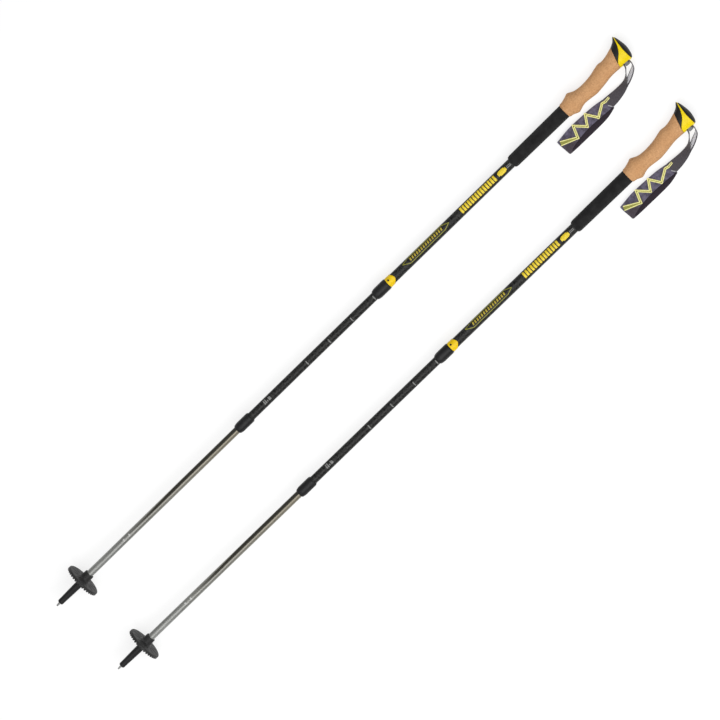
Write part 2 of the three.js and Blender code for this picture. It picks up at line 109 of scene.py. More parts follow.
class Surface:
    """A Principled material, with helpers that add procedural detail."""

    def __init__(self, name, roughness, metallic=0.0, **sockets):
        self.name = name
        self.material = bpy.data.materials.new(name)
        self.material.use_nodes = True
        self.tree = self.material.node_tree
        self.shader = self.tree.nodes["Principled BSDF"]
        self.shader.inputs["Roughness"].default_value = roughness
        self.shader.inputs["Metallic"].default_value = metallic
        for key, value in sockets.items():
            self.shader.inputs[key.replace("_", " ")].default_value = value
        self.object_place = self.node("ShaderNodeTexCoord").outputs["Object"]
        self.last_bump = None

    def node(self, kind, **settings):
        made = self.tree.nodes.new(kind)
        for key, value in settings.items():
            setattr(made, key, value)
        return made

    def link(self, source, target):
        self.tree.links.new(source, target)

    def attribute(self, name):
        return self.node("ShaderNodeAttribute", attribute_name=name).outputs["Vector"]

    def stretched(self, place, scale):
        mapping = self.node("ShaderNodeMapping")
        mapping.inputs["Scale"].default_value = scale
        self.link(place, mapping.inputs["Vector"])
        return mapping.outputs["Vector"]

    def noise(self, size, detail=3.0, place=None, stretch=None, rough=0.5):
        """Noise whose features are about size metres (or the attribute's own units) across."""
        place = place or self.object_place
        if stretch:
            place = self.stretched(place, stretch)
        made = self.node("ShaderNodeTexNoise")
        made.inputs["Scale"].default_value = 1 / size
        made.inputs["Detail"].default_value = detail
        made.inputs["Roughness"].default_value = rough
        self.link(place, made.inputs["Vector"])
        return made.outputs["Fac"]

    def cells(self, size, place=None, feature="F1", output="Distance"):
        """Voronoi cells about size metres across."""
        made = self.node("ShaderNodeTexVoronoi", feature=feature)
        made.inputs["Scale"].default_value = 1 / size
        self.link(place or self.object_place, made.inputs["Vector"])
        return made.outputs[output]

    def math(self, operation, a, b=None):
        """One calculation on sockets or numbers."""
        made = self.node("ShaderNodeMath", operation=operation)
        for socket, value in zip(made.inputs, (a, b)):
            if value is None:
                continue
            if isinstance(value, (int, float)):
                socket.default_value = value
            else:
                self.link(value, socket)
        return made.outputs[0]

    def times(self, a, b):
        return self.math("MULTIPLY", a, b)

    def spread(self, value, low, high, to_low=0.0, to_high=1.0, smooth=False):
        """value from low to high, mapped on to to_low to to_high and clamped."""
        made = self.node("ShaderNodeMapRange")
        if smooth:
            made.interpolation_type = "SMOOTHSTEP"
        for key, number in (("From Min", low), ("From Max", high), ("To Min", to_low), ("To Max", to_high)):
            made.inputs[key].default_value = number
        self.link(value, made.inputs["Value"])
        return made.outputs["Result"]

    def mix(self, factor, a, b):
        """Colour a where factor is 0 and b where it is 1. Each is an sRGB triple or a socket."""
        made = self.node("ShaderNodeMix", data_type="RGBA")
        self.link(factor, made.inputs["Factor"])
        colours = [s for s in made.inputs if s.type == "RGBA"]
        for socket, colour in zip(colours, (a, b)):
            if isinstance(colour, tuple):
                socket.default_value = linear(colour)
            else:
                self.link(colour, socket)
        return [s for s in made.outputs if s.type == "RGBA"][0]

    def colour(self, socket):
        self.link(socket, self.shader.inputs["Base Color"])

    def lay_over(self, factor, colour):
        """Lays a colour over the surface's own where factor is 1."""
        under = self.shader.inputs["Base Color"].links[0].from_socket
        self.colour(self.mix(factor, under, colour))

    def tint(self, value, dark, light, low=NOISE[0], high=NOISE[1]):
        """Colours the surface from dark to light as value goes from low to high."""
        self.colour(self.mix(self.spread(value, low, high), dark, light))

    def roughness(self, value, low, high, to_low, to_high):
        self.link(self.spread(value, low, high, to_low, to_high), self.shader.inputs["Roughness"])

    def bump(self, height, distance, strength=1.0):
        """Adds a bump of that distance in metres on top of the earlier ones."""
        made = self.node("ShaderNodeBump")
        made.inputs["Strength"].default_value = strength
        made.inputs["Distance"].default_value = distance
        self.link(height, made.inputs["Height"])
        if self.last_bump:
            self.link(self.last_bump, made.inputs["Normal"])
        self.last_bump = made.outputs["Normal"]
        self.link(self.last_bump, self.shader.inputs["Normal"])


def moulded(name, dark, light, roughness, grain=0.0004, height=0.00003, **sockets):
    """Moulded plastic: a fine grain, faint clouds in its colour and uneven gloss."""
    s = Surface(name, roughness, **sockets)
    s.tint(s.noise(0.012, 3), dark, light)
    fine = s.noise(grain, 2)
    s.roughness(fine, *NOISE, roughness - 0.07, roughness + 0.07)
    s.bump(fine, height, 0.5)
    return s


def split(s, vector):
    """The three numbers of a vector socket."""
    made = s.node("ShaderNodeSeparateXYZ")
    s.link(vector, made.inputs[0])
    return made.outputs["X"], made.outputs["Y"], made.outputs["Z"]


def carbon_surface():
    """Lacquered carbon tube: a dark twill under a clear coat, mottled along its length."""
    s = Surface("carbon", 0.36, Coat_Weight=0.04, Coat_Roughness=0.3, Specular_IOR_Level=0.14)
    wrap = s.attribute("wrap")
    u, v, _ = split(s, wrap)
    twist = 2.6                      # radians of the weave in each millimetre
    twill = s.math("SINE", s.times(s.math("ADD", u, v), twist))
    cross = s.math("SINE", s.times(s.math("SUBTRACT", u, v), twist))
    weave = s.times(twill, cross)
    mottle = s.noise(2.6, 3, wrap, (1.0, 0.7, 1.0), 0.6)
    patchy = s.times(s.spread(mottle, 0.38, 0.62), s.spread(weave, -0.6, 0.8, 0.35, 1.0))
    s.colour(s.mix(patchy, (10, 10, 11), (66, 66, 64)))
    s.roughness(mottle, 0.35, 0.65, 0.28, 0.42)
    s.bump(weave, 0.00002, 0.25)
    return s


def lower_tube_surface():
    """Satin tube: bare silver near the tip and tinted duller along its length, with a band of painted shade
    on its finger side that widens towards the collar.
    """
    s = Surface("lower_tube", 0.36, metallic=0.55, Specular_IOR_Level=0.4)
    x, y, _ = split(s, s.attribute("mm"))
    speckle = s.noise(0.0007, 3)
    streaks = s.noise(0.004, 3, stretch=(0.05, 1.0, 1.0))
    silver = s.mix(s.spread(streaks, *NOISE), (122, 123, 120), (154, 155, 152))
    dark = s.mix(s.spread(speckle, 0.35, 0.65), (44, 43, 37), (66, 63, 55))
    # The band of painted shade lies between the tube's middle line and a line that rises along the
    # stations.
    height = s.math("ADD", y, s.spread(streaks, *NOISE, -0.4, 0.4))
    above = s.spread(height, -0.9, 0.5, smooth=True)
    top = s.spread(x, 150, 330, 1.2, 7.5)
    below = s.spread(s.math("SUBTRACT", top, height), -0.7, 0.9, smooth=True)
    start = s.spread(x, 140, 240, smooth=True)
    # painted shade: the finger side of the tube is darkened, over more of it towards the collar
    band = s.times(s.times(above, below), start)
    tinted = s.mix(s.spread(x, 140, 400), silver, (128, 122, 107))
    s.colour(s.mix(band, tinted, dark))
    s.roughness(streaks, *NOISE, 0.3, 0.44)
    s.bump(speckle, 0.00001, 0.3)
    return s


def metal_surface(name, dark, light, roughness):
    """Turned metal with fine rings along the axis."""
    s = Surface(name, roughness, metallic=1.0)
    rings = s.noise(0.0006, 2, stretch=(1.0, 0.08, 0.08))
    s.tint(rings, dark, light)
    s.roughness(rings, *NOISE, roughness - 0.08, roughness + 0.1)
    s.bump(rings, 0.00002, 0.4)
    return s


def foam_surface():
    """Closed-cell foam with fine pores."""
    s = Surface("foam", 0.92, Specular_IOR_Level=0.15, Sheen_Weight=0.05, Sheen_Roughness=0.6)
    pores = s.cells(0.0009)
    s.tint(s.noise(0.01, 4), (24, 24, 24), (38, 38, 38))
    s.bump(s.spread(pores, 0.1, 0.6), 0.00012, 0.6)
    s.bump(s.noise(0.0016, 3), 0.00015, 0.35)
    return s


def cork_surface():
    """Pressed cork: pale granules of many tones, with dark crevices here and there."""
    s = Surface("cork", 0.78, Specular_IOR_Level=0.25)
    granule, pit_spacing, bend = 0.0021, 0.0046, 0.0012
    wobble = s.node("ShaderNodeTexNoise")
    wobble.inputs["Scale"].default_value = 700
    s.link(s.object_place, wobble.inputs["Vector"])
    shift = s.node("ShaderNodeVectorMath", operation="SCALE")
    shift.inputs["Scale"].default_value = bend
    s.link(wobble.outputs["Color"], shift.inputs[0])
    warp = s.node("ShaderNodeVectorMath", operation="ADD")
    s.link(s.object_place, warp.inputs[0])
    s.link(shift.outputs[0], warp.inputs[1])
    place = warp.outputs[0]
    tone = s.node("ShaderNodeSeparateColor")
    s.link(s.cells(granule, place, output="Color"), tone.inputs[0])
    grain = s.mix(s.spread(tone.outputs[0], 0.1, 0.9), (192, 145, 101), (206, 159, 113))
    gap = s.cells(granule, place, feature="DISTANCE_TO_EDGE")
    clouds = s.noise(0.02, 3)
    warm = s.mix(s.spread(clouds, 0.35, 0.7, 0.0, 0.5), grain, (196, 145, 97))
    seam = s.times(s.spread(gap, 0.0, 0.12, 1.0, 0.0), s.spread(s.noise(0.003, 3), 0.45, 0.62))
    creviced = s.mix(s.times(seam, 0.42), warm, (122, 78, 44))
    pits = s.spread(s.cells(pit_spacing, place), 0.1, 0.17, 1.0, 0.0)
    dots = s.times(pits, s.spread(s.noise(0.006, 2), 0.5, 0.58))
    s.colour(s.mix(s.times(dots, 0.55), creviced, (92, 56, 30)))
    s.bump(s.spread(gap, 0.0, 0.15), 0.00012, 0.45)
    s.bump(s.spread(dots, 0.0, 1.0, 1.0, 0.0), 0.0002, 0.5)
    return s


def yellow_surface(name, dark, light):
    """Satin yellow plastic with a faint orange-peel skin."""
    s = Surface(name, 0.38, Specular_IOR_Level=0.22, Coat_Weight=0.06, Coat_Roughness=0.3)
    s.tint(s.noise(0.009, 3), dark, light)
    fine = s.noise(0.0006, 2)
    s.roughness(fine, *NOISE, 0.32, 0.46)
    s.bump(fine, 0.00003, 0.4)
    return s


def woven_surface(name, dark, light, thread=0.9, blotch=0.0):
    """Woven tape. Its wrap attribute holds millimetres along and across the tape."""
    s = Surface(name, 0.85, Specular_IOR_Level=0.25, Sheen_Weight=0.2, Sheen_Roughness=0.5)
    wrap = s.attribute("wrap")
    u, v, _ = split(s, wrap)
    turn = 2 * math.pi / thread
    warp = s.math("SINE", s.times(v, turn))
    weft = s.math("SINE", s.times(u, turn * 1.3))
    weave = s.times(warp, weft)
    clouds = s.noise(3.0, 4, wrap)
    fleck = s.noise(0.45, 2, wrap, (0.6, 1.0, 1.0))
    tone = s.math("ADD", s.spread(weave, -1.0, 1.0, 0.0, 0.5), s.spread(fleck, *NOISE, 0.0, 0.5))
    varied = s.times(tone, s.spread(clouds, *NOISE, 0.75, 1.0))
    if blotch:
        patches = s.spread(s.noise(8.0, 3, wrap), 0.4, 0.6, 1 - blotch, 1 + blotch)
        varied = s.times(varied, patches)
    s.colour(s.mix(varied, dark, light))
    s.bump(weave, 0.00015, 0.5)
    s.bump(fleck, 0.0001, 0.3)
    return s


def tape_with_painted_highlight():
    """Dark webbing with a painted highlight: its face is painted nearly white between its edges along the
    stretch that turns on edge.
    """
    s = woven_surface("webbing_painted_highlight", (52, 49, 53), (92, 88, 94))
    run, across, _ = split(s, s.attribute("wrap"))
    inside = s.spread(s.math("ABSOLUTE", across), 3.6, 4.3, 1.0, 0.0, smooth=True)
    begins = s.spread(run, 42, 48, smooth=True)
    ends = s.spread(run, 80, 86, 1.0, 0.0, smooth=True)
    highlight_mask = s.times(inside, s.times(begins, ends))
    fleck = s.noise(0.5, 2, s.attribute("wrap"))
    # painted highlight: near white laid on the tape's face where it turns on edge
    s.lay_over(highlight_mask, s.mix(s.spread(fleck, *NOISE), (242, 240, 248), (255, 254, 255)))
    return s


def band_surface():
    """The wide band's blotched weave, which turns dark towards the outer corner of its fold."""
    s = woven_surface("wrist_band", (52, 48, 58), (114, 109, 130), 1.1, blotch=0.5)
    run, across, _ = split(s, s.attribute("wrap"))
    corner = s.times(s.spread(run, 66, 92, smooth=True), s.spread(across, 5, -5, smooth=True))
    s.lay_over(s.times(corner, 0.85), (62, 54, 58))
    return s


def thread_surface(name, dark, light):
    """Stitching thread, twisted fine."""
    s = Surface(name, 0.6, Specular_IOR_Level=0.35, Sheen_Weight=0.1)
    twist = s.noise(0.0005, 2, stretch=(1.0, 1.0, 0.4))
    s.tint(twist, dark, light)
    s.bump(twist, 0.0001, 0.5)
    return s


def ink_surface(name, dark, light, roughness=0.45):
    """Printed ink, with slight unevenness of cover."""
    s = Surface(name, roughness, Specular_IOR_Level=0.4)
    cover = s.noise(0.0016, 3)
    s.tint(cover, dark, light, 0.35, 0.65)
    s.roughness(cover, *NOISE, roughness - 0.05, roughness + 0.08)
    return s


MATERIALS = {made.name: made for made in (
    carbon_surface(),
    lower_tube_surface(),
    metal_surface("carbide", (150, 150, 150), (196, 196, 194), 0.4),
    metal_surface("steel", (150, 152, 154), (186, 188, 190), 0.3),
    moulded("nylon", (205, 202, 190), (222, 219, 208), 0.5),
    moulded("black_plastic", (20, 20, 21), (30, 30, 31), 0.45, Specular_IOR_Level=0.25),
    moulded("basket_plastic", (34, 34, 34), (46, 46, 46), 0.5, 0.0006, 0.00005,
            Specular_IOR_Level=0.25),
    foam_surface(),
    cork_surface(),
    moulded("soft_black", (20, 20, 21), (30, 30, 31), 0.55, 0.0005, 0.00004,
            Specular_IOR_Level=0.25),
    yellow_surface("yellow_plastic", (230, 201, 0), (240, 213, 2)),
    yellow_surface("yellow_ring", (222, 184, 6), (236, 200, 10)),
    moulded("grey_plastic", (96, 97, 101), (114, 115, 118), 0.5),
    woven_surface("webbing", (52, 49, 53), (92, 88, 94)),
    tape_with_painted_highlight(),
    band_surface(),
    # The band's inner face: its lining tone, darkened further as painted shade from the front layer above
    # it.
    woven_surface("band_lining_and_shade", (28, 22, 29), (54, 45, 55), 1.3),
    thread_surface("thread_yellow", (228, 224, 136), (246, 242, 176)),
    # painted shade: a darker copy of the yellow thread, for the strip between the stitch lines
    thread_surface("olive_painted_shade", (118, 118, 44), (158, 156, 70)),
    thread_surface("thread_grey", (150, 150, 156), (186, 186, 190)),
    ink_surface("ink_yellow", (214, 186, 30), (238, 212, 48)),
    ink_surface("ink_dull", (156, 140, 36), (190, 170, 54)),
    ink_surface("ink_lime", (128, 128, 36), (156, 154, 50)),
    ink_surface("ink_white", (168, 168, 166), (200, 200, 198)),
    ink_surface("ink_grey", (104, 104, 103), (132, 132, 130)),
)}

# ---------------- Meshes ----------------


class Shape:
    """Points in millimetres and faces, with wrap coordinates for weaves and prints."""

    def __init__(self, points=(), faces=(), wrap=None):
        self.points = [tuple(p) for p in points]
        self.faces = [tuple(f) for f in faces]
        self.wrap = list(wrap) if wrap is not None else [(p[0], p[1], 0.0) for p in self.points]

    def add(self, other):
        start = len(self.points)
        self.points += other.points
        self.faces += [tuple(i + start for i in f) for f in other.faces]
        self.wrap += other.wrap
        return self


def added(name, data):
    """A new object in the scene."""
    made = bpy.data.objects.new(name, data)
    bpy.context.scene.collection.objects.link(made)
    return made


def place(name, side, shape, where, body, slot, replaces=(), material=None, crease=32):
    """Makes a piece from a shape, moves it into the row frame and puts it on its CAD body."""
    points = np.array(shape.points, float)
    matrix = np.array(where)
    world = points @ matrix[:3, :3].T + matrix[:3, 3]
    mesh = bpy.data.meshes.new(f"{side}_{name}")
    mesh.from_pydata(world.tolist(), [], shape.faces)
    mesh.update()
    for key, values in (("mm", shape.points), ("wrap", shape.wrap)):
        layer = mesh.attributes.new(key, "FLOAT_VECTOR", "POINT")
        layer.data.foreach_set("vector", np.array(values, np.float32).ravel())
    mesh.polygons.foreach_set("use_smooth", [True] * len(mesh.polygons))
    mesh.set_sharp_from_angle(angle=math.radians(crease))
    mesh.materials.append(MATERIALS[material or slot].material)
    piece = added(f"{side}_{name}", mesh)
    if body:
        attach(piece, f"{side}_{body}")
    if replaces:
        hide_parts(*[f"{side}_{node}" for node in replaces])
    return piece


def uneven(x, y, z):
    """Smooth noise at a point, from about -1 to 1."""
    return noise.noise(Vector((x, y, z)))


FILLET_STEPS = 4


def around(sides):
    """Evenly spaced angles, once round."""
    return [2 * math.pi * k / sides for k in range(sides)]


def rounded(outline):
    """A closed outline of (station, radius, fillet) corners with its corners rounded."""
    out = []
    count = len(outline)
    for i, corner in enumerate(outline):
        here = Vector(corner[:2])
        fillet = corner[2] if len(corner) > 2 else 0
        if not fillet:
            out.append(tuple(here))
            continue
        before = Vector(outline[i - 1][:2]) - here
        after = Vector(outline[(i + 1) % count][:2]) - here
        reach = min(fillet, before.length * 0.48, after.length * 0.48)
        start = here + before.normalized() * reach
        end = here + after.normalized() * reach
        for k in range(FILLET_STEPS + 1):
            t = k / FILLET_STEPS
            out.append(tuple(start * (1 - t) ** 2 + here * 2 * t * (1 - t) + end * t * t))
    return out


def divided(points, step, least=1):
    """A line of plan points with more points on its runs, at most about step apart."""
    out = []
    for (x0, y0), (x1, y1) in zip(points, points[1:]):
        parts = max(least, int(math.hypot(x1 - x0, y1 - y0) / step))
        out += [(x0 + (x1 - x0) * k / parts, y0 + (y1 - y0) * k / parts) for k in range(parts)]
    return out


def dense(outline, step):
    """A closed outline with more points on its runs."""
    return divided([*outline, outline[0]], step)


def curve_through(route, steps):
    """Catmull-Rom through rows of numbers, sampled evenly along its length."""
    rows = np.array(route, float)
    ends = np.vstack([2 * rows[0] - rows[1], rows, 2 * rows[-1] - rows[-2]])
    samples = []
    for i in range(1, len(ends) - 2):
        p0, p1, p2, p3 = ends[i - 1:i + 3]
        for t in np.linspace(0, 1, 24, endpoint=False):
            samples.append(0.5 * (2 * p1 + (p2 - p0) * t + (2 * p0 - 5 * p1 + 4 * p2 - p3) * t * t
                                  + (3 * p1 - p0 - 3 * p2 + p3) * t**3))
    samples.append(rows[-1])
    samples = np.array(samples)
    run = np.concatenate([[0], np.cumsum(np.linalg.norm(np.diff(samples[:, :3], axis=0), axis=1))])
    at = np.linspace(0, run[-1], steps)
    return np.array([[np.interp(a, run, samples[:, k]) for k in range(rows.shape[1])] for a in at]), run[-1]


def skin(rows, sides, closed=False):
    """Faces between rows of points, each a ring. Unless the rows close too, both ends are capped."""
    faces = []
    for i in range(rows if closed else rows - 1):
        j = (i + 1) % rows
        for k in range(sides):
            n = (k + 1) % sides
            faces.append((i * sides + k, j * sides + k, j * sides + n, i * sides + n))
    if not closed:
        faces.append(tuple(range(sides)))
        faces.append(tuple((rows - 1) * sides + k for k in reversed(range(sides))))
    return faces


def outward(shape):
    """Turns the faces outwards if the shape's volume comes out negative."""
    volume = 0.0
    pts = [Vector(p) for p in shape.points]
    for face in shape.faces:
        for i in range(1, len(face) - 1):
            volume += pts[face[0]].dot(pts[face[i]].cross(pts[face[i + 1]]))
    if volume < 0:
        shape.faces = [tuple(reversed(f)) for f in shape.faces]
    return shape


def lathe(outline, sides=96, bend=None, closed=True):
    """An outline turned about the pole's axis. bend(station, radius, angle) may move a point.
    An outline that isn't closed starts and ends beside the axis."""
    points, wrap = [], []
    for station, radius in outline:
        for angle in around(sides):
            x, r = bend(station, radius, angle) if bend else (station, radius)
            points.append((x, r * math.cos(angle), r * math.sin(angle)))
            wrap.append((angle * r, x, 0.0))
    return outward(Shape(points, skin(len(outline), sides, closed), wrap))


# ---------------- Tubes and collars ----------------
Tube = namedtuple("Tube", "start end outer bore")
LOWER_TUBE = Tube(58.3, 500, 6.0, 5.0)
MIDDLE_TUBE = Tube(423, 854, 7.0, 6.3)
UPPER_TUBE = Tube(737, 1262, 8.0, 7.3)
RING_SPACING = 12                    # of a tube's rings of points
EDGE_EASE = 0.25                     # bevel of a tube's outer edges
EDGE_MIDDLE = 0.3                    # how far the bevel's middle stands in from the corner, as a share
BORE_EASE = 0.1

# A collar's lip guides the tube that slides in it, and its socket takes the tube that it sits on.
Collar = namedtuple("Collar", "start end outer socket lip lip_end")
LOWER_COLLAR = Collar(418.5, 450, 9.0, 7.3, 6.3, 422.7)
UPPER_COLLAR = Collar(731.7, 761, 9.7, 8.3, 7.3, 736.7)


def straight_tube(size):
    """A tube with eased ends, in rings close enough for its weave."""
    start, end, outer, bore = size
    rings = max(2, int((end - start) / RING_SPACING))
    middle = EDGE_EASE * EDGE_MIDDLE
    outline = [(start, bore + BORE_EASE), (start, outer - EDGE_EASE), (start + middle, outer - middle)]
    outline += [(start + EDGE_EASE + (end - start - 2 * EDGE_EASE) * i / rings, outer)
                for i in range(rings + 1)]
    outline += [(end - middle, outer - middle), (end, outer - EDGE_EASE), (end, bore + BORE_EASE)]
    outline += [(end - BORE_EASE, bore), (start + BORE_EASE, bore)]
    return lathe(outline)


def collar(size):
    """Moulded sleeve round the lower end of a tube, with a guiding lip at its lower end."""
    start, end, outer, socket, lip, lip_end = size
    return lathe(rounded([
        (start, lip, 0.2), (start, outer - 2.0, 0.8), (start + 1.5, outer - 1.0, 1.2),
        (start + 6, outer, 2.5), (end - 2.2, outer, 1.2), (end, outer - 1.1, 0.8), (end, socket, 0.2),
        (lip_end, socket), (lip_end, lip),
    ]), 120)


LOCK_RING = Tube(761.3, 777.0, 8.9, 8.3)


def lock_ring():
    """Plain ring whose upper edge rises to a tongue on the two flat sides."""
    start, crown, outer, bore = LOCK_RING
    shoulder = 769.9
    steps = 10
    # The outline's first number runs from 0 at the lower edge to 1 at the upper edge.
    outline = [(0.0, bore), (0.0, outer - 0.25), (0.03, outer)]
    outline += [(i / steps, outer) for i in range(1, steps)]
    outline += [(0.985, outer), (1.0, outer - 0.25), (1.0, bore)]

    def edge(t, r, angle):
        lean = 1.6 * math.cos(angle) * (1 - abs(math.sin(angle)) ** 3)
        top = shoulder + (crown - shoulder) * math.sin(angle) ** 2 + lean
        return start + (top - start) * t, r
    return lathe(outline, 144, edge)


# ---------------- Tip, ferrule and basket ----------------


def tip():
    """Hard tip with a hollow ground point."""
    axis = 0.02
    outline = [(0.9, axis), (0.7, 0.5), (0.05, 0.98), (0.0, 1.1), (0.12, 1.3), (0.5, 1.42), (6.6, 2.1),
               (7.6, 2.28), (25.8, 2.28), (26, 2.1), (26, axis)]
    return lathe(outline, 48, closed=False)


def ferrule():
    """Tapered tip holder with shallow ribs along it and a boss for the basket."""
    outline = rounded([
        (26.3, 2.55), (7.3, 2.55, 0.15), (7.3, 4.2, 0.3), (8.4, 5.0, 0.6), (35, 5.85, 8), (55.8, 6.4, 0.3),
        (57.3, 7.1, 0.4), (76, 7.1, 0.3), (76, 6.2), (58.0, 6.2), (58.0, 0.05), (26.3, 0.05),
    ])
    first, last, run_out = 12, 54, 5
    inside, count, depth = 4.5, 12, 0.16

    def ribs(x, r, angle):
        if first < x < last and r > inside:
            fade = min(1, (x - first) / run_out, (last - x) / run_out)
            return x, r - depth * fade * (0.5 + 0.5 * math.cos(count * angle))
        return x, r
    return lathe(dense(outline, 3), 120, ribs)


TEETH = 36


def basket():
    """Dished plate with a toothed skirt towards the tip, shallow radial ribs and a hub."""
    outline = rounded([
        (61.2, 7.45), (61.4, 28.6, 0.6), (57.8, 29.6, 0.25), (57.8, 31.0, 0.3), (62.4, 31.0, 0.8),
        (63.6, 29.6, 0.6), (64.0, 10.9, 1.6), (66.2, 8.5, 1.2), (75.8, 8.2, 0.8), (77.0, 7.8, 0.4),
        (77.0, 7.45),
    ])
    skirt_inside, skirt_top, skirt_height = 29.2, 61.0, 3.2
    rib_start, rib_end, rib_count, rib_height = 11, 29, 12, 0.5

    def teeth(x, r, angle):
        wave = abs(((angle * TEETH / (2 * math.pi)) % 1) - 0.5) * 2
        if r > skirt_inside and x < skirt_top:
            lift = 2.4 * min(1.0, max(0.0, (wave - 0.35) * 1.9))
            x = x + lift * (skirt_top - x) / skirt_height
        if rib_start < r < rib_end and x > 63:
            rib = max(0.0, math.cos(angle * rib_count)) ** 6
            x = x + rib_height * rib * min(1, (rib_end - r) / 4, (r - rib_start) / 2)
        return x, r
    return lathe(dense(outline, 2.2), TEETH * 8, teeth)


# ---------------- Foam and cork ----------------


def foam():
    """Foam sleeve with a rounded lower end and a slightly uneven skin."""
    bore = 8.4
    outline = dense(rounded([
        (1038, bore), (1038, 9.1, 0.8), (1039.3, 10.2, 1.2), (1042.5, 11.0, 2.5), (1155, 11.75, 0.5),
        (1155, bore),
    ]), 3)

    def soft(x, r, angle):
        if r < 9.5:
            return x, r
        broad = uneven(x * 0.05, math.cos(angle), math.sin(angle) * 1.2)
        fine = uneven(x * 0.45, 5 * math.cos(angle), 5 * math.sin(angle))
        return x, r + 0.1 * broad + 0.05 * fine - 0.05
    return lathe(outline, 96, soft)


# Grip outline: station, reach on the finger side and on the palm side, half the thickness, and where
# the widest line lies.
GRIP_SECTIONS = [
    (1155.3, 12.5, 12.7, 12.3, 0), (1162, 13.3, 14.0, 13.6, 0), (1171, 15.8, 17.6, 16.1, 0),
    (1176.5, 17.6, 16.4, 16.4, 0), (1182, 15.2, 14.6, 14.9, 0), (1189, 12.3, 13.7, 13.4, 0),
    (1199, 10.8, 14.8, 13.2, -1), (1212, 11.0, 16.1, 13.7, -1.5), (1224, 12.4, 15.2, 14.0, -1),
    (1235, 15.0, 13.7, 14.0, 0), (1243, 16.5, 12.6, 13.8, 1), (1252, 15.6, 12.2, 13.6, 1),
    (1261, 16.8, 12.6, 13.8, 2), (1271, 19.5, 13.4, 14.3, 2.5), (1279, 22.2, 14.0, 14.6, 3),
    (1285, 25.6, 14.4, 14.5, 3.5), (1290.5, 31.2, 13.4, 13.9, 4), (1292.1, 29.4, 11.8, 12.9, 4.5),
    (1293.9, 24.5, 8.4, 10.6, 5.5), (1295.6, 15.5, 1.5, 6.2, 6.5), (1296.5, 8.5, -5.0, 1.6, 6.8),
]
SQUARENESS = 0.92


def smooth_sections(sections):
    """The sections joined by a smooth curve through them, as rows of numbers."""
    per_span = 14
    rows = np.array(sections, float)
    steps = np.linalg.norm(np.diff(rows[:, :4], axis=0), axis=1) ** 0.6
    knots = np.concatenate([[0], np.cumsum(steps)])
    slopes = np.zeros_like(rows)
    slopes[1:-1] = (rows[2:] - rows[:-2]) / (knots[2:] - knots[:-2])[:, None]
    slopes[0] = (rows[1] - rows[0]) / steps[0]
    slopes[-1] = (rows[-1] - rows[-2]) / steps[-1]
    out = []
    for i, span in enumerate(steps):
        for t in np.linspace(0, 1, per_span, endpoint=False):
            h00, h10 = 2 * t**3 - 3 * t**2 + 1, t**3 - 2 * t**2 + t
            h01, h11 = -2 * t**3 + 3 * t**2, t**3 - t**2
            out.append(h00 * rows[i] + h10 * span * slopes[i]
                       + h01 * rows[i + 1] + h11 * span * slopes[i + 1])
    out.append(rows[-1])
    return np.array(out)


GRIP = smooth_sections(GRIP_SECTIONS)
GRIP[:, 0] = np.maximum.accumulate(GRIP[:, 0])


def grip_point(row, angle):
    """The point of the grip's skin at that angle round a section, 0 being the finger side."""
    station, front, rear, half, mid = row
    c, s = math.cos(angle), math.sin(angle)
    reach = front - mid if c > 0 else rear + mid
    return (station, mid + reach * math.copysign(abs(c) ** SQUARENESS, c),
            half * math.copysign(abs(s) ** SQUARENESS, s))


def grip_row(station):
    """The grip's section at a station."""
    return [station] + [float(np.interp(station, GRIP[:, 0], GRIP[:, k])) for k in range(1, 5)]


WIDE = 40.0                          # further from the axis than any point of the grip


def seam_through(points):
    """A smooth seam through plan points."""
    line, _ = curve_through(points, 60)
    return [tuple(p) for p in line]


# Seams of the head in plan, as (station, y) points.
CORK_SEAM = ((1258.2, -WIDE), (1282.6, WIDE))
INLAY_SEAM = seam_through([(1240, -WIDE), (1257, -19), (1271, -3), (1281, 6), (1287.2, 16), (1290.2, 26),
                           (1293, WIDE)])
CAP_SEAM = ((1289.6, -WIDE), (1289.8, 6), (1291.8, 26), (1292.4, WIDE))
GAP = 0.3
GRIP_BORE = 8.4


def cork():
    """Grip with a flared foot and a slanted top, its skin slightly uneven from the granules."""
    rows, sides = 150, 144
    (xa, ya), (xb, yb) = CORK_SEAM
    pitch = (xb - xa) / (yb - ya)
    foot = GRIP_SECTIONS[0][0]
    edge_ease, edge_reach = 0.7, 1.2
    columns = []
    for angle in around(sides):
        top = 1265.0
        for _ in range(12):          # settles on the station where this line of the skin meets the seam
            top = xa + pitch * (grip_point(grip_row(top), angle)[1] - ya)
        column = []
        for i in range(rows + 1):
            station = foot + (top - foot) * (i / rows)
            x, y, z = grip_point(grip_row(station), angle)
            from_end = min(station - foot, top - station)
            ease = edge_ease * max(0.0, 1 - from_end / edge_reach) ** 2
            grain = uneven(x * 0.55, y * 0.55, z * 0.55)
            lump = uneven(x * 0.12, y * 0.12, z * 0.12)
            push = 0.1 * grain + 0.12 * lump - ease - 0.06
            r = math.hypot(y, z)
            column.append((x, y * (1 + push / r), z * (1 + push / r)))
        bore_y, bore_z = GRIP_BORE * math.cos(angle), GRIP_BORE * math.sin(angle)
        column.append((xa + pitch * (bore_y - ya), bore_y, bore_z))
        column.append((foot, bore_y, bore_z))
        columns.append(column)
    count = rows + 3
    points = [columns[k][i] for i in range(count) for k in range(sides)]
    return outward(Shape(points, skin(count, sides, closed=True)))


# ---------------- Head ----------------


def work_object(shape):
    """A throwaway object in millimetres, to run modifiers on."""
    mesh = bpy.data.meshes.new("work")
    mesh.from_pydata(shape.points, [], shape.faces)
    mesh.update()
    return added("work", mesh)


def result(obj):
    """The shape an object has after its modifiers. The object goes."""
    bpy.context.view_layer.update()
    evaluated = obj.evaluated_get(bpy.context.evaluated_depsgraph_get())
    mesh = evaluated.to_mesh()
    shape = Shape([tuple(v.co) for v in mesh.vertices], [tuple(p.vertices) for p in mesh.polygons])
    evaluated.to_mesh_clear()
    bpy.data.objects.remove(obj)
    return shape


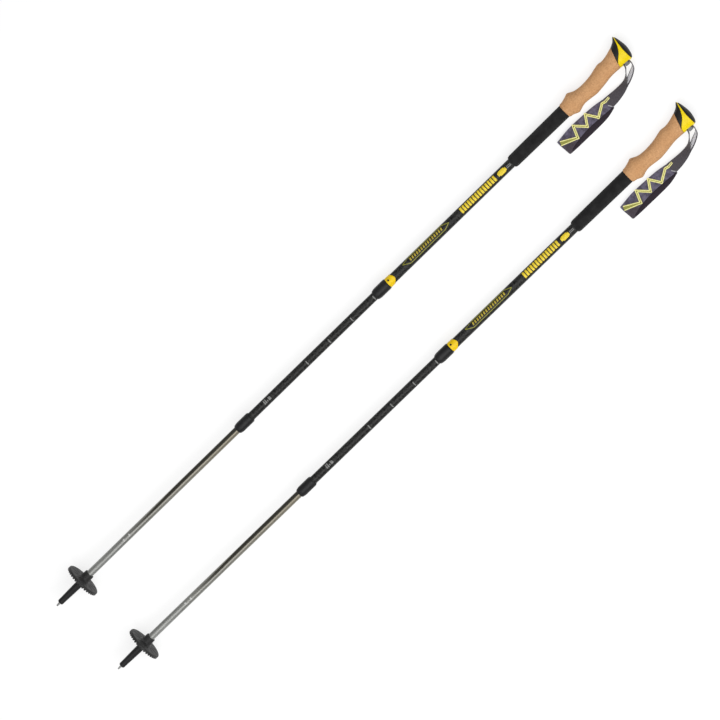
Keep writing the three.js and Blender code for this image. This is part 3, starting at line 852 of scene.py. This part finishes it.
def combined(base, others, operation):
    """base with each of the others cut from it, added to it, or kept in common."""
    body = work_object(base)
    tools = [work_object(other) for other in others]
    for tool in tools:
        step = body.modifiers.new("b", "BOOLEAN")
        step.operation = operation
        step.solver = "EXACT"
        step.object = tool
    shape = result(body)
    for tool in tools:
        bpy.data.objects.remove(tool)
    return shape


def softened(shape, voxel, passes):
    """The shape remeshed evenly, with its corners eased."""
    body = work_object(shape)
    remesh = body.modifiers.new("r", "REMESH")
    remesh.mode = "VOXEL"
    remesh.voxel_size = voxel
    ease = body.modifiers.new("s", "SMOOTH")
    ease.factor = 0.5
    ease.iterations = passes
    return result(body)


def prism(outline, half):
    """A plan outline, as high as half to both sides."""
    count = len(outline)
    points = [(x, y, -half) for x, y in outline] + [(x, y, half) for x, y in outline]
    faces = [tuple(range(count))[::-1], tuple(range(count, 2 * count))]
    faces += [(i, (i + 1) % count, count + (i + 1) % count, count + i) for i in range(count)]
    return outward(Shape(points, faces))


def beyond(seam):
    """A block that holds everything past a seam and its gap."""
    return prism([(x + GAP, y) for x, y in seam] + [(1310, WIDE), (1310, -WIDE)], WIDE)


def before(seam):
    """A block that holds everything below a seam."""
    return prism(list(seam) + [(1200, WIDE), (1200, -WIDE)], WIDE)


def grip_form():
    """The head end of the grip as one closed skin."""
    sides = 160
    rows = [row for row in GRIP if row[0] > 1235]
    points = [grip_point(row, angle) for row in rows for angle in around(sides)]
    return outward(Shape(points, skin(len(rows), sides)))


def rod(start, end, radius):
    """A solid rod on the pole's axis."""
    return lathe([(start, 0.01), (start, radius), (end, radius), (end, 0.01)], 64, closed=False)


def cross_rod(station, y, half, radius):
    """A rod along z through (station, y)."""
    return prism([(station + radius * math.cos(a), y + radius * math.sin(a)) for a in around(40)], half)


SLOT_LOW, SLOT_HIGH, SLOT_FLOOR, SLOT_HALF = 1272, 1284.7, -2, 6.6
PIN_STATION, PIN_Y, PIN_HOLE, PIN_HALF = 1278.4, -4.6, 2.0, 11.2
HEAD_VOXEL = 0.38


def head_pieces():
    """The front wedge, the inlay and the cap, cut from one form along its seams."""
    form = grip_form()
    above_cork = combined(form, [beyond(CORK_SEAM)], "INTERSECT")
    core = rod(1237, 1284, 7.1)
    flange = rod(1262.3, 1284, 8.1)
    base = combined(above_cork, [core, flange], "UNION")
    base = combined(base, [before(INLAY_SEAM), before(CAP_SEAM)], "INTERSECT")
    inlay = combined(above_cork, [beyond(INLAY_SEAM), before(CAP_SEAM)], "INTERSECT")
    slot = prism([(SLOT_LOW, -30), (SLOT_HIGH, -30), (SLOT_HIGH, SLOT_FLOOR), (SLOT_LOW, SLOT_FLOOR)],
                 SLOT_HALF)
    hole = cross_rod(PIN_STATION, PIN_Y, PIN_HALF, PIN_HOLE)
    inlay = combined(inlay, [slot, hole], "DIFFERENCE")
    cap = combined(form, [beyond(CAP_SEAM)], "INTERSECT")
    return softened(base, HEAD_VOXEL, 3), softened(inlay, HEAD_VOXEL, 3), softened(cap, HEAD_VOXEL, 5)


def wedge():
    """Grey block that wedges the strap's two ends in the head."""
    outline = [(1276.2, -8.8), (1280.7, -8.8), (1282.3, -14.5), (1282.3, -17.2), (1281.3, -18),
               (1275.6, -18), (1274.6, -17.2), (1274.6, -14.5)]
    return softened(prism(outline, 6.1), 0.3, 5)


# ---------------- Strap ----------------


def ribbon(route, thickness, steps, across, crown=0.0, frill=0.0, heading=None):
    """Flat tape along rows of (x, y, z, width, tilt). tilt is 0 lying flat and 90 on edge. Its width
    lies square to its run in plan, or along heading where the tape folds back on itself."""
    line, length = curve_through(route, steps)
    points, wrap = [], []
    loop = [(-1 + 2 * j / across, 1) for j in range(across + 1)]
    loop += [(1 - 2 * j / across, -1) for j in range(across + 1)]
    for i, (x, y, z, width, tilt) in enumerate(line):
        a = line[max(0, i - 1)][:3]
        b = line[min(steps - 1, i + 1)][:3]
        along = Vector(b - a).normalized()
        plan = Vector((-along.y, along.x, 0)).normalized() if heading is None else Vector((*heading, 0))
        lean = math.radians(tilt)
        side = plan * math.cos(lean) + plan.cross(along).normalized() * math.sin(lean)
        face = along.cross(side).normalized()
        for u, v in loop:
            edge = max(0.0, (abs(u) - 0.86) / 0.14)
            half = thickness / 2 * (1 - 0.55 * edge**2) + crown * (1 - u * u) * 0.5
            wave = frill * uneven(i * 0.09, u * 1.3, thickness)
            p = Vector((x, y, z)) + side * (u * width / 2) + face * (v * half + wave)
            points.append(tuple(p))
            wrap.append((length * i / (steps - 1), u * width / 2, float(v)))
    return outward(Shape(points, skin(steps, len(loop)), wrap))


def cordlet(route, radius, steps):
    """A thin round thread along rows of (x, y, z)."""
    sides = 8
    line, length = curve_through(route, steps)
    points, wrap = [], []
    for i, p in enumerate(line):
        along = Vector(line[min(steps - 1, i + 1)] - line[max(0, i - 1)]).normalized()
        side = along.cross(Vector((0, 0, 1)))
        side = side.normalized() if side.length > 1e-3 else Vector((1, 0, 0))
        up = side.cross(along).normalized()
        for angle in around(sides):
            q = Vector(p) + side * (radius * math.cos(angle)) + up * (radius * math.sin(angle))
            points.append(tuple(q))
            wrap.append((length * i / (steps - 1), radius * angle, 0.0))
    return outward(Shape(points, skin(steps, sides), wrap))


BAND_TOP_Z = 6.6
BAND_LOW_Z = 1.5
FOLD_HEADING = (-0.07, 1)            # the way the fold runs, in plan

# Rows of station, y, height over that layer's base, and width. The upper layer ends round the fold.
UPPER_LAYER = [
    (1216, -39.2, 0, 18.0), (1207, -38.2, 0, 20.0), (1190, -36.4, 0, 21.4), (1165, -35.2, 0, 21.6),
    (1140, -35.8, 0, 23.4), (1121.5, -38.6, -0.1, 25.4), (1113.9, -40.4, -0.8, 27.2),
    (1111.8, -40.9, -2.55, 28.0), (1113.4, -41.4, -4.2, 28.0), (1118.5, -42.0, -5.0, 27.6),
]
LOWER_LAYER = [
    (1115.5, -41.8, 0.3, 27.4), (1128, -43.0, 0.6, 26.0), (1145, -44.0, 0.8, 24.2),
    (1175, -44.2, 0.8, 24.0), (1192, -43.8, 0.8, 23.4), (1202, -43.0, 0.9, 21.6), (1213, -42.0, 1.2, 18.0),
]


def band_layer(rows, base, thickness, steps, across, crown):
    """A layer of the wide band, lying flat, with its folded end square to the fold."""
    route = [(x, y, base + rise, width, 0) for x, y, rise, width in rows]
    return ribbon(route, thickness, steps, across, crown, 0.3, FOLD_HEADING)


# Rows of station, y, z, width and tilt. The tapes turn on edge on their way to the slot in the head.
INNER_ROUTE = [
    (1211, -38.6, 7.6, 19.5, 0), (1222, -38.4, 7.7, 17.4, 0), (1236, -37.9, 7.7, 14.4, 8),
    (1247, -36.4, 7.6, 12.6, 28), (1256, -33.0, 7.8, 12.0, 57), (1262.4, -28.0, 9.2, 12.0, 78),
    (1267.6, -22.8, 12.0, 12.0, 87), (1271.4, -18.4, 14.6, 12.0, 90), (1273.3, -13.0, 15.3, 12.0, 90),
    (1274.2, -9.6, 15.3, 12.0, 90),
]
OUTER_ROUTE = [
    (1211, -40.6, 3.2, 17.0, 0), (1224, -40.6, 3.4, 16.0, 0), (1239, -39.5, 4.4, 13.4, 14),
    (1252, -37.0, 6.6, 12.2, 38), (1263, -34.2, 8.0, 12.0, 48), (1272.6, -30.0, 9.4, 12.0, 53),
    (1280.2, -25.9, 11.8, 12.0, 66), (1283.6, -21.2, 14.2, 12.0, 88), (1284.0, -15.5, 15.3, 12.0, 90),
    (1282.6, -9.6, 15.3, 12.0, 90),
]

# Rows of station, y and half the spacing of the two lines of stitching.
ZIGZAG = [
    (1113.4, -32.4, 3.4), (1139.4, -44.6, 1.4), (1147.2, -26.2, 1.3), (1162.8, -42.4, 1.3),
    (1173.6, -26.6, 1.3), (1185.4, -44.4, 1.3), (1204.6, -32.8, 1.3), (1211, -34.0, 1.3),
    (1219.6, -33.2, 1.1),
]
STITCH_Z = BAND_TOP_Z + 1.35


def on_band(points, height):
    """Plan points joined by straight runs at that height, with points close enough to stay straight."""
    spacing = 3.0
    return [(x, y, height) for x, y in divided(points, spacing, 2) + points[-1:]]


def offset_line(rows, way):
    """A plan line of (x, y, shift) moved sideways by shift times way, mitred at its corners."""
    points = [row[:2] for row in rows]
    out = []
    for i, (x, y, shift) in enumerate(rows):
        dirs = []
        if i:
            dirs.append(Vector((x - points[i - 1][0], y - points[i - 1][1])).normalized())
        if i + 1 < len(points):
            dirs.append(Vector((points[i + 1][0] - x, points[i + 1][1] - y)).normalized())
        normals = [Vector((-d.y, d.x)) for d in dirs]
        mean = sum(normals, Vector((0, 0))).normalized()
        stretch = way / max(0.4, mean.dot(normals[0]))
        out.append((x + mean.x * shift * stretch, y + mean.y * shift * stretch))
    return out


def zigzag_threads():
    """The two lines of stitching on the band."""
    out = Shape()
    for way in (-1, 1):
        out.add(cordlet(on_band(offset_line(ZIGZAG, way), STITCH_Z), 0.84, 300))
    return out


def zigzag_painted_shade():
    """A flat olive strip between the two lines of stitching, a darker copy of their yellow: painted shade.
    """
    z = STITCH_Z - 0.2
    out = Shape()
    for (x0, y0, half0), (x1, y1, half1) in zip(ZIGZAG, ZIGZAG[1:]):
        out.add(ribbon([(x0, y0, z, 2 * half0, 0), (x1, y1, z, 2 * half1, 0)], 0.5, 12, 4))
    return out


def bar_tack():
    """Short slanted bar of stitching where the band is joined to its tape."""
    route = [(1209.5, -41.5, STITCH_Z), (1211.5, -44.5, STITCH_Z + 0.1), (1213.5, -47.5, STITCH_Z)]
    return cordlet(route, 0.8, 20)


# ---------------- Prints ----------------
INK_SUNK = 0.05                      # how far a print reaches into its tube
INK_PROUD = 0.06                     # and how far it stands out
PANEL_PROUD = 0.07
EDGE_OF_VIEW = 0.99                  # a print's y is kept below this share of the tube's radius


def wrap_angle(y, radius):
    """Angle round a tube at which its skin lies at y, from straight up."""
    return math.asin(max(-EDGE_OF_VIEW, min(EDGE_OF_VIEW, y / radius)))


def patch(x0, x1, y0, y1, radius, skew=0.0, taper=(1.0, 1.0), steps=8):
    """A thin curved plate on a tube, from y0 to y1 as seen from above and x0 to x1 along it.
    skew slides its finger side along the tube, and taper narrows its two ends."""
    a0, a1 = wrap_angle(y0, radius), wrap_angle(y1, radius)
    mid = (a0 + a1) / 2
    points = []
    along = max(1, int(abs(x1 - x0) / 6))
    for i in range(along + 1):
        t = i / along
        width = taper[0] + (taper[1] - taper[0]) * t
        for k in range(steps + 1):
            angle = mid + (a0 + (a1 - a0) * k / steps - mid) * width
            x = x0 + (x1 - x0) * t + skew * (k / steps - 0.5)
            for r in (radius - INK_SUNK, radius + INK_PROUD):
                points.append((x, r * math.sin(angle), r * math.cos(angle)))
    faces = []
    row = 2 * (steps + 1)
    for i in range(along):
        for k in range(steps):
            a = i * row + 2 * k
            faces.append((a, a + row, a + row + 2, a + 2))
            faces.append((a + 1, a + 3, a + row + 3, a + row + 1))
        b = i * row + 2 * steps
        faces.append((i * row, i * row + 1, (i + 1) * row + 1, (i + 1) * row))
        faces.append((b, b + row, b + row + 1, b + 1))
    for k in range(steps):
        a, b = 2 * k, along * row + 2 * k
        faces.append((a, a + 2, a + 3, a + 1))
        faces.append((b, b + 1, b + 3, b + 2))
    return outward(Shape(points, faces))


def stroke(points, width, radius):
    """A printed line of even width along (x, y) points on a tube, as a row of short plates."""
    out = Shape()
    for (x0, y0), (x1, y1) in zip(points, points[1:]):
        run = math.hypot(x1 - x0, y1 - y0)
        parts = max(1, int(run / 8), int(abs(y1 - y0) / 0.7))
        for k in range(parts):
            ax, ay = x0 + (x1 - x0) * k / parts, y0 + (y1 - y0) * k / parts
            bx, by = x0 + (x1 - x0) * (k + 1) / parts, y0 + (y1 - y0) * (k + 1) / parts
            nx, ny = -(by - ay), bx - ax
            size = math.hypot(nx, ny)
            nx, ny = nx / size * width / 2, ny / size * width / 2
            corners = [(ax - nx, ay - ny), (bx - nx, by - ny), (bx + nx, by + ny), (ax + nx, ay + ny)]
            plate = []
            for r in (radius - INK_SUNK, radius + PANEL_PROUD):
                for x, y in corners:
                    angle = wrap_angle(y, radius)
                    plate.append((x, r * math.sin(angle), r * math.cos(angle)))
            quads = [(0, 1, 2, 3), (7, 6, 5, 4), (0, 4, 5, 1), (1, 5, 6, 2), (2, 6, 7, 3), (3, 7, 4, 0)]
            out.add(outward(Shape(plate, quads)))
    return out


def patches(tube, *rows):
    """Several patches on a tube, from rows of x0, x1, y0, y1 and other settings."""
    out = Shape()
    for row in rows:
        more = row[4] if len(row) > 4 else {}
        out.add(patch(*row[:4], tube.outer, **more))
    return out


def repeated(count, first, pitch, length, *more):
    """Rows for equal patches at even distances along a tube."""
    return [(first + i * pitch, first + i * pitch + length, *more) for i in range(count)]


BARS = repeated(14, 926.5, 5.6, 3.9, -4, 6)
BLOCK = [(1009, 1013, -4, 4.5, {"taper": (0.55, 1.0)}), (1013, 1022, -4, 4.5),
         (1022, 1026, -4, 4.5, {"taper": (1.0, 0.55)})]
DASHES = repeated(15, 814, 4.9, 2.7, 0.0, 4.8, {"skew": 0.8, "steps": 5})
PANEL = [(799, 4.2), (813, 6.7), (887, 6.7), (900, 1.5), (888, -2.8), (812, -2.8), (799, 4.2)]
LINES = [(1027.5, 1036.5, 0.6, 1.7), (1027.5, 1036.5, -1.7, -0.6)]
LENGTH_MARKS = repeated(4, 577.1, 50.5, 1.8, -5, 2.5)
MIDDLE_MARKS = [(481.5, 483.6, -2.6, 4.6), (484.6, 486.7, -2.6, 4.6), (488.2, 489.6, -2.0, 1.0),
                (491.6, 496.2, -2.6, 3.8, {"taper": (1.0, 0.7)})]
LOWER_MARKS = repeated(2, 156.5, 12.5, 3, -2, 2.2)

# ---------------- Assembly ----------------
HEAD_FRONT, HEAD_PANEL, HEAD_CROWN = head_pieces()
SMOOTH = {"crease": 60}              # for remeshed pieces, whose edges are already eased

# Rows of piece, shape, CAD body, material slot, CAD node that it stands for, and other settings.
POLE_PIECES = [
    ("tip_point", tip(), "lower", "carbide", "carbide_tip", {}),
    ("tip_holder", ferrule(), "lower", "black_plastic", "tip_ferrule", {}),
    ("snow_basket", basket(), "basket", "basket_plastic", "basket", {}),
    ("lower_shaft", straight_tube(LOWER_TUBE), "lower", "lower_tube", "lower_tube", {}),
    ("middle_shaft", straight_tube(MIDDLE_TUBE), "middle", "carbon", "middle_tube", {}),
    ("upper_shaft", straight_tube(UPPER_TUBE), "handle", "carbon", "upper_tube", {}),
    ("lower_collar", collar(LOWER_COLLAR), "middle", "black_plastic", "lower_lock_collar", {}),
    ("upper_collar", collar(UPPER_COLLAR), "handle", "black_plastic", "upper_lock_collar", {}),
    ("lock_band", lock_ring(), "handle", "yellow_plastic", "upper_lock_ring", {"material": "yellow_ring"}),
    ("foam_sleeve", foam(), "handle", "foam", "foam_grip", {}),
    ("cork_handle", cork(), "handle", "cork", "cork_grip", {}),
    ("head_front", HEAD_FRONT, "handle", "black_plastic", "head_base", SMOOTH),
    ("head_panel", HEAD_PANEL, "handle", "yellow_plastic", "head_inlay", SMOOTH),
    ("head_crown", HEAD_CROWN, "handle", "soft_black", "head_cap", SMOOTH),
    ("wedge_block", wedge(), "wedge", "grey_plastic", "strap_wedge", SMOOTH),
]
# Rows of piece, shape, CAD body, material slot and ink.
PRINTS = [
    ("print_yellow", patches(UPPER_TUBE, *BARS, *BLOCK), "handle", "yellow_plastic", "ink_yellow"),
    ("print_panel", stroke(PANEL, 1.0, UPPER_TUBE.outer), "handle", "yellow_plastic", "ink_lime"),
    ("print_dashes", patches(UPPER_TUBE, *DASHES), "handle", "yellow_plastic", "ink_dull"),
    ("print_lines", patches(UPPER_TUBE, *LINES), "handle", "grey_plastic", "ink_grey"),
    ("print_ticks", patches(MIDDLE_TUBE, *LENGTH_MARKS), "middle", "grey_plastic", "ink_grey"),
    ("print_middle", patches(MIDDLE_TUBE, *MIDDLE_MARKS), "middle", "grey_plastic", "ink_grey"),
    ("print_lower", patches(LOWER_TUBE, *LOWER_MARKS), "lower", "grey_plastic", "ink_white"),
    # The lock ring's mark is a debossed recess; this black plate stands in it as painted shade.
    ("ring_mark_shade", patches(LOCK_RING, (764, 767, 1.5, 4.5)), "handle", "soft_black", "soft_black"),
]
# Rows of piece, shape, CAD node and material of the two tapes.
TAPES = [
    ("tape_inner", ribbon(INNER_ROUTE, 1.3, 120, 12), "strap_webbing_inner", "webbing"),
    # The outer tape's material carries a painted highlight where it turns on edge.
    ("tape_outer", ribbon(OUTER_ROUTE, 1.3, 120, 12), "strap_webbing_outer", "webbing_painted_highlight"),
]
STITCHING = [
    ("zigzag", zigzag_threads(), "thread_yellow"),
    # painted shade: the olive strip between the two lines of stitching
    ("zigzag_shade_strip", zigzag_painted_shade(), "olive_painted_shade"),
    ("bar_tack", bar_tack(), "thread_grey"),
]
BAND_FRONT = band_layer(UPPER_LAYER, BAND_TOP_Z, 1.9, 240, 28, 0.5)
BAND_BACK = band_layer(LOWER_LAYER, BAND_LOW_Z, 1.6, 160, 24, 0.3)


def place_pole(side):
    """What leans with the pole: its tubes, collars, tip and grip, and the prints on them."""
    lean = LEANING[side]
    for name, shape, body, slot, node, settings in POLE_PIECES:
        piece = place(name, side, shape, lean, body, slot, [node], **settings)
    for name, shape, body, slot, ink in PRINTS:
        place(name, side, shape, lean, body, slot, material=ink)


def place_strap(side):
    """The strap, which lies on the floor beside the grip. Its tapes reach up into the head."""
    level = LEVEL[side]
    band_piece = place("wrist_loop", side, BAND_FRONT, level, "strap", "wrist_band", ["wrist_band"])
    # The back layer shows the band's lining, coloured darker with painted shade.
    band_back = place("wrist_loop_back", side, BAND_BACK, level, "strap", "wrist_band",
                      material="band_lining_and_shade")
    for name, shape, node, look in TAPES:
        tape = place(name, side, shape, level, None, "webbing", [node], material=look)
        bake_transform(tape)
    for name, shape, thread in STITCHING:
        place(name, side, shape, level, "strap", "webbing", material=thread)


for side in SIDES:
    place_pole(side)
    place_strap(side)

# The lock parts and the strap's pin stay as the CAD has them.
for name, obj in frame["nodes"].items():
    if obj.hide_render:
        continue
    key = "steel" if name.endswith(("stud", "pin")) else "nylon"
    obj.data.materials.clear()
    obj.data.materials.append(MATERIALS[key].material)

# ---------------- Stage, light and camera ----------------
FLOOR_HALF = 6


def studio_world():
    """Soft light from all round, brighter from above."""
    world = bpy.data.worlds.new("studio")
    bpy.context.scene.world = world
    world.use_nodes = True
    nodes, links = world.node_tree.nodes, world.node_tree.links
    way = nodes.new("ShaderNodeTexCoord")
    parts = nodes.new("ShaderNodeSeparateXYZ")
    rise = nodes.new("ShaderNodeMapRange")
    for key, number in (("From Min", 0.05), ("From Max", 0.8), ("To Min", 0.12), ("To Max", 0.62)):
        rise.inputs[key].default_value = number
    links.new(way.outputs["Generated"], parts.inputs[0])
    links.new(parts.outputs["Z"], rise.inputs["Value"])
    links.new(rise.outputs["Result"], nodes["Background"].inputs["Color"])


def pale_floor():
    """A floor that reads as plain white, with faint soft shadows."""
    h = FLOOR_HALF
    mesh = bpy.data.meshes.new("floor")
    mesh.from_pydata([(-h, -h, 0), (h, -h, 0), (h, h, 0), (-h, h, 0)], [], [(0, 1, 2, 3)])
    look = Surface("floor", 0.9, Specular_IOR_Level=0.1, Emission_Color=(1, 1, 1, 1),
                   Emission_Strength=0.72)
    look.colour(look.mix(look.noise(0.4, 2), (148, 148, 148), (151, 151, 151)))
    mesh.materials.append(look.material)
    added("floor", mesh)


def lamp(name, where, target, size, power):
    """A square lamp at where, turned to target."""
    light = bpy.data.lights.new(name, "AREA")
    light.size = size
    light.energy = power
    made = added(name, light)
    made.location = where
    made.rotation_euler = (Vector(target) - Vector(where)).to_track_quat("-Z", "Y").to_euler()


CAMERA_AIM = Vector((641, -56.8, 0))          # in the left pole's frame
CAMERA_AIM_HEIGHT = 0.02
CAMERA_DISTANCE = 7.0
CAMERA_ELEVATION = math.radians(79)
CAMERA_ROLL = math.radians(44.17)
CAMERA_LENS = 218.8


def place_camera():
    """Above the handle end, rolled so that the poles run from the lower left to the upper right."""
    aim = LEANING["left"] @ CAMERA_AIM
    target = Vector((aim.x, aim.y, CAMERA_AIM_HEIGHT))
    toward = Vector((math.cos(CAMERA_ELEVATION), 0, math.sin(CAMERA_ELEVATION)))
    level_x = Vector((toward.z, 0, -toward.x))
    level_y = Vector((0, 1, 0))
    right = level_x * math.cos(CAMERA_ROLL) - level_y * math.sin(CAMERA_ROLL)
    up = level_x * math.sin(CAMERA_ROLL) + level_y * math.cos(CAMERA_ROLL)
    lens = bpy.data.cameras.new("camera")
    lens.sensor_width = 36
    lens.lens = CAMERA_LENS
    camera = added("camera", lens)
    turn = Matrix((right, up, toward)).transposed().to_4x4()
    camera.matrix_world = Matrix.Translation(target + toward * CAMERA_DISTANCE) @ turn
    bpy.context.scene.camera = camera


studio_world()
bpy.context.scene.view_settings.view_transform = "Standard"
pale_floor()
lamp("overhead", (-0.2, -0.8, 2.5), (0, 0.02, 0), 2.4, 46)
lamp("fill", (1.6, -1.4, 1.8), (0.2, 0, 0), 1.6, 14)
place_camera()
